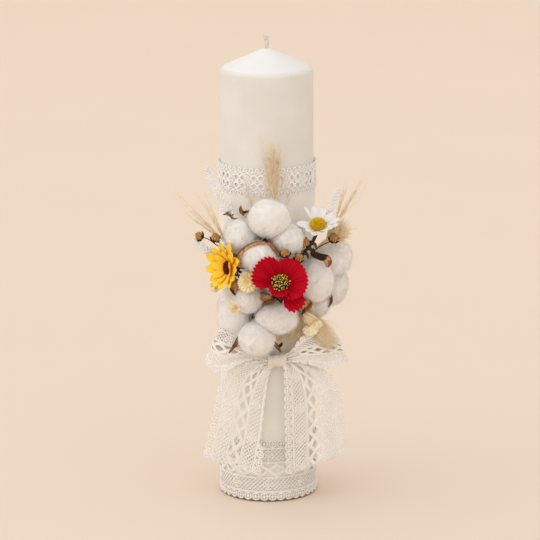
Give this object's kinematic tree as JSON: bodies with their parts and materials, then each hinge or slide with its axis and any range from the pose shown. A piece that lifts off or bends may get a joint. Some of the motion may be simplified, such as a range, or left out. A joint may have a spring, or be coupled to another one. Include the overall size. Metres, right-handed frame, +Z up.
{
  "type": "unity candle",
  "caption": "Tall pillar candle in a fabric sleeve with lace bands and a lace bow, and a bouquet of cotton bolls, fabric flowers and dried grasses on its front.",
  "frame": {"origin": "middle of the candle's flat base, on its axis", "axes": "+Z up along the candle's axis, -Y towards the bouquet on the front, +X to the right as seen from the front"},
  "size_m": [0.131, 0.1297, 0.3536],
  "materials": {
    "wax": "satin",
    "wick": "matte",
    "wrap_fabric": "matte",
    "satin": "satin",
    "lace": "matte",
    "glue": "satin",
    "cotton": "matte",
    "burr": "matte",
    "sunflower_petal": "matte",
    "sunflower_disc": "matte",
    "poppy_petal": "matte",
    "poppy_stamens": "matte",
    "daisy_petal": "matte",
    "daisy_disc": "matte",
    "flower_green": "matte",
    "flax_pod": "matte",
    "straw_flower": "matte",
    "dried_grass": "matte",
    "bleached_fern": "matte"
  },
  "bodies": {
    "root": {"base_lace_band": "lace", "boll_burr_lower": "burr", "boll_burr_middle": "burr", "boll_burr_right": "burr", "boll_burr_upper": "burr", "bow_knot": "satin", "bow_left_loop": "lace", "bow_left_tail": "lace", "bow_right_loop": "lace", "bow_right_tail": "lace", "bunny_tail_lower": "dried_grass", "bunny_tail_upper": "dried_grass", "candle_body": "wax", "cotton_lock_bottom": "cotton", "cotton_lock_front": "cotton", "cotton_lock_hidden": "cotton", "cotton_lock_low_left": "cotton", "cotton_lock_low_middle": "cotton", "cotton_lock_low_right": "cotton", "cotton_lock_right_back": "cotton", "cotton_lock_right_front": "cotton", "cotton_lock_right_low": "cotton", "cotton_lock_right_top": "cotton", "cotton_lock_top": "cotton", "cotton_lock_upper_left": "cotton", "cotton_lock_upper_right": "cotton", "daisy_disc": "daisy_disc", "daisy_petals": "daisy_petal", "daisy_stem": "flower_green", "fabric_wrap": "wrap_fabric", "fern_left": "bleached_fern", "fern_low_left": "bleached_fern", "fern_right": "bleached_fern", "flax_pod_inner": "flax_pod", "flax_pod_outer": "flax_pod", "flax_pod_right": "flax_pod", "flax_pod_upper": "flax_pod", "flax_sprig_left": "flax_pod", "glue_pad": "glue", "pale_leaf": "bleached_fern", "pampas_centre": "dried_grass", "pampas_left": "dried_grass", "pampas_right": "dried_grass", "poppy_calyx": "flower_green", "poppy_centre": "poppy_stamens", "poppy_petals": "poppy_petal", "ribbon_tie": "satin", "straw_flower_button": "straw_flower", "straw_flower_high": "straw_flower", "straw_flower_low": "straw_flower", "straw_flower_pleated": "straw_flower", "straw_flower_rosette": "straw_flower", "sunflower_calyx": "flower_green", "sunflower_disc": "sunflower_disc", "sunflower_petals": "sunflower_petal", "top_lace_band": "lace", "wick": "wick"}
  },
  "joints": []
}
